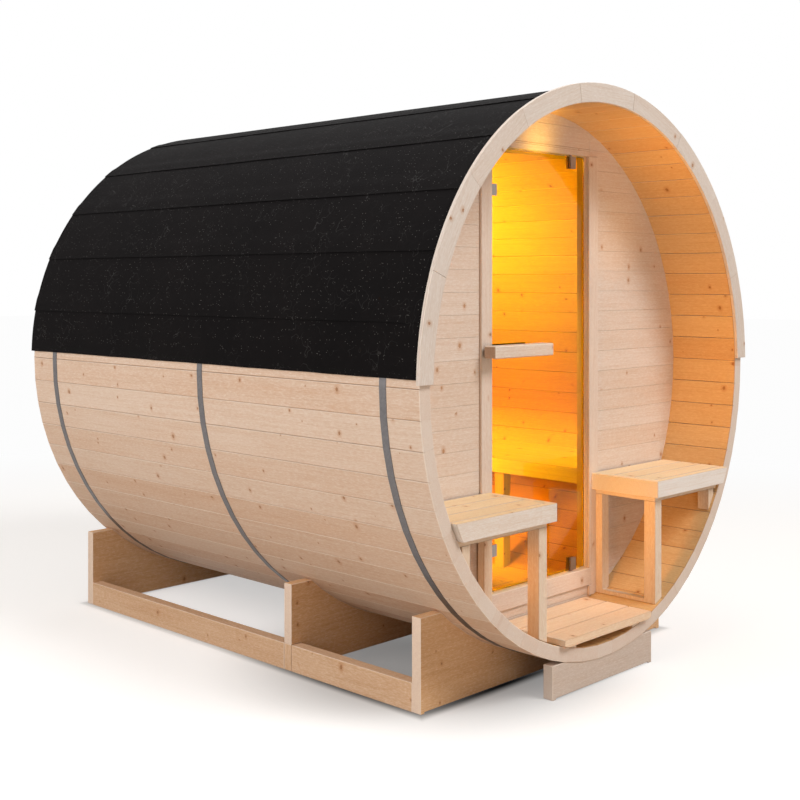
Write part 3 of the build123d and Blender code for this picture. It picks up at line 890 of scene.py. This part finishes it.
def buildDoor():
    for node, name, slotName, material, ease in (
            ("door_glass", "doorPane", "tinted_glass", amberGlass, door["paneEase"]),
            ("door_fittings", "doorFittings", "fitting_metal", fittingSteel, door["fittingEase"])):
        piece = copyNode(node, name)
        easeEdges(piece, ease)
        dress(piece, [node], "door", material)
    for node, name, start, stop, seed in (
            ("door_handle_outside", "outerHandle", None, door["outerGrip"], 261),
            ("door_handle_inside", "innerHandle", door["innerGrip"], None, 262)):
        whole = copyNode(node, "wholeHandle")
        grip = sliceOf(whole, name + "Grip", 1, start, stop)
        spacers = sliceOf(whole, name + "Spacers", 1, stop, start)
        bpy.data.objects.remove(whole)
        easeEdges(grip, door["gripEase"], 3)
        markGrain(grip, crosswiseUpright, seed)
        dress(grip, [node], "door", woods["handle"])
        easeEdges(spacers, door["spacerEase"])
        dress(spacers, [], "door", fittingSteel)


buildDoor()
print("door ready")


# Metres: the floor, the distances over which it turns white, the painted soft shadow (dark) and the
# painted contact shadow along the cradle's outline. floorTone and glow: near the object, far from it.
# bounce, air: what lights the object.
studio = dict(size=80, below=0.0005, fade=(2.2, 5.5), shadowAt=(-0.30, -0.52, 0.0), shadowReach=(0.2, 0.9),
              dark=0.66, cradleMiddle=0.0995, cradleHalf=(0.74, 0.9525), contactShadowWidth=0.05, line=0.4,
              floorTone=(0.60, 0.0), glow=(0.52, 0.98), bounce=(0.58, 0.48, 0.38, 1),
              air=(1.0, 0.80, 0.62, 1), airStrength=0.25)


def buildStage():
    bpy.ops.mesh.primitive_plane_add(size=studio["size"], location=(0, 0, -studio["below"]))
    ground = bpy.context.active_object
    ground.name = "studioFloor"
    material, w, shader = newMaterial("studioWhite")
    tree = material.node_tree
    tree.nodes.remove(shader)
    # Seen directly, the floor glows towards white with distance. Near the object it keeps the lamps' soft
    # shadow and a painted shadow under the barrel.
    place = w.add("ShaderNodeTexCoord").outputs["Object"]
    far = w.span(w.vector("LENGTH", place), *studio["fade"], smooth=True)
    under = w.vector("LENGTH", w.vector("SUBTRACT", place, studio["shadowAt"]))
    under = w.span(under, *studio["shadowReach"], studio["dark"], 0.0, smooth=True)
    # A painted contact shadow: a darker line along the cradle's outline.
    parts = w.add("ShaderNodeSeparateXYZ")
    w.plug(parts.inputs[0], place)
    beside = w.minus(w.maths("ABSOLUTE", parts.outputs[0]), studio["cradleHalf"][0])
    beyond = w.maths("ABSOLUTE", w.minus(parts.outputs[1], studio["cradleMiddle"]))
    beyond = w.minus(beyond, studio["cradleHalf"][1])
    edge = w.maths("ABSOLUTE", w.maths("MAXIMUM", beside, beyond))
    under = w.plus(under, w.span(edge, 0.0, studio["contactShadowWidth"], studio["line"], 0.0, smooth=True), True)
    clear = w.minus(1.0, under)
    seen = w.seen()
    shown = w.times(clear, w.span(far, 0.0, 1.0, *studio["floorTone"]))
    grey = w.add("ShaderNodeCombineColor")
    for channel in grey.inputs:
        w.plug(channel, shown)
    paint = w.add("ShaderNodeBsdfDiffuse")
    w.plug(paint.inputs["Color"], w.mix(seen, studio["bounce"], grey.outputs[0]))
    glow = w.add("ShaderNodeEmission")
    glow.inputs["Color"].default_value = (1, 1, 1, 1)
    w.plug(glow.inputs["Strength"], w.times(w.times(seen, clear), w.span(far, 0.0, 1.0, *studio["glow"])))
    both = w.add("ShaderNodeAddShader")
    w.plug(both.inputs[0], paint.outputs[0])
    w.plug(both.inputs[1], glow.outputs[0])
    w.plug(tree.nodes["Material Output"].inputs["Surface"], both.outputs[0])
    ground.data.materials.append(material)


def buildWorld():
    world = bpy.data.worlds.new("studioAir")
    bpy.context.scene.world = world
    world.use_nodes = True
    w = Wires(world.node_tree)
    back = world.node_tree.nodes["Background"].inputs
    seen = w.seen()
    w.plug(back["Color"], w.mix(seen, studio["air"], (1, 1, 1, 1)))
    w.plug(back["Strength"], w.span(seen, 0.0, 1.0, studio["airStrength"], 1.0))


# Each lamp: name, place, what it points at, watts, colour, width, height and spread in degrees. Without a
# height it is square.
daylight = (1.0, 0.99, 0.975)
lamps = (
    ("keyLamp", (-6.0, 0.6, 4.0), (0, 0.1, 0.9), 232, daylight, 3.8, None, 180),
    ("frontLamp", (1.9, -9.1, 10.7), (0, -0.9, 1.0), 1120, daylight, 5.0, None, 180),
    ("fillLamp", (-4.6, -7.9, 1.9), (-0.2, -0.6, 0.7), 75, (0.93, 0.97, 1.0), 4.0, None, 180),
    ("skyLamp", (0.5, 0.5, 6.0), (0, 0.2, 1.0), 70, daylight, 4.0, None, 180),
    # warm lamps in the room
    ("roomLamp", (-0.35, 0.45, 1.30), (0.72, 0.1, 1.84), 10, (1.0, 0.86, 0.40), 0.3, None, 80),
    ("seatLamp", (0.15, -0.2, 1.75), (0.55, -0.2, 0.66), 11.0, (1.0, 0.74, 0.30), 0.9, 0.15, 36),
    ("bootLamp", (-0.55, -0.1, 0.9), (0.45, 0.1, 0.50), 5.6, (1.0, 0.46, 0.06), 0.3, None, 70),
    # small warm lamps in the porch, out of sight
    ("porchSideLamp", (-0.80, -1.04, 1.15), (0.95, -1.16, 1.15), 1.12, (1.0, 0.40, 0.03), 0.05, 0.7, 44),
    ("porchCrownLamp", (0.0, -1.04, 0.75), (0.45, -1.15, 2.0), 0.65, (1.0, 0.42, 0.03), 0.05, 0.5, 40),
    ("porchHeadLamp", (-0.05, -1.03, 1.62), (-0.02, -0.79, 1.93), 0.19, (1.0, 0.60, 0.10), 0.10, None, 42),
    ("porchWallLamp", (0.50, -1.03, 1.55), (0.48, -0.80, 1.66), 0.09, (1.0, 0.50, 0.10), 0.26, None, 120),
    ("porchLowLamp", (-0.22, -0.98, 0.56), (0.8, -0.9, 0.40), 0.6, (1.0, 0.42, 0.06), 0.12, None, 90),
    ("porchLegLamp", (-0.64, -1.0, 0.50), (-0.3, -1.0, 0.36), 0.11, (1.0, 0.40, 0.08), 0.06, None, 90),
)


def addLamp(name, place, target, power, colour, width, height, spread):
    data = bpy.data.lights.new(name, "AREA")
    data.energy = power
    data.color = colour
    data.size = width
    if height:
        data.shape = "RECTANGLE"
        data.size_y = height
    data.spread = math.radians(spread)
    lamp = bpy.data.objects.new(name, data)
    bpy.context.scene.collection.objects.link(lamp)
    lamp.location = place
    lamp.rotation_euler = (Vector(target) - Vector(place)).to_track_quat("-Z", "Y").to_euler()
    lamp.visible_camera = False


buildStage()
buildWorld()
for row in lamps:
    addLamp(*row)

# Metres, degrees, millimetres and shares of the frame, fitted to the photo.
view = dict(place=(-3.7973, -3.4682, 1.4104), heading=-42.94, sensor=36, lens=55.41, shiftX=0.150,
            shiftY=-0.149, reach=200)
cameraData = bpy.data.cameras.new("photoCamera")
camera = bpy.data.objects.new("photoCamera", cameraData)
bpy.context.scene.collection.objects.link(camera)
camera.location = view["place"]
camera.rotation_euler = (math.radians(90), 0, math.radians(view["heading"]))
cameraData.sensor_width = view["sensor"]
cameraData.lens = view["lens"]
cameraData.shift_x = view["shiftX"]
cameraData.shift_y = view["shiftY"]
cameraData.clip_end = view["reach"]
bpy.context.scene.camera = camera
bpy.context.scene.view_settings.view_transform = "Standard"
print("stage, lamps and camera set")
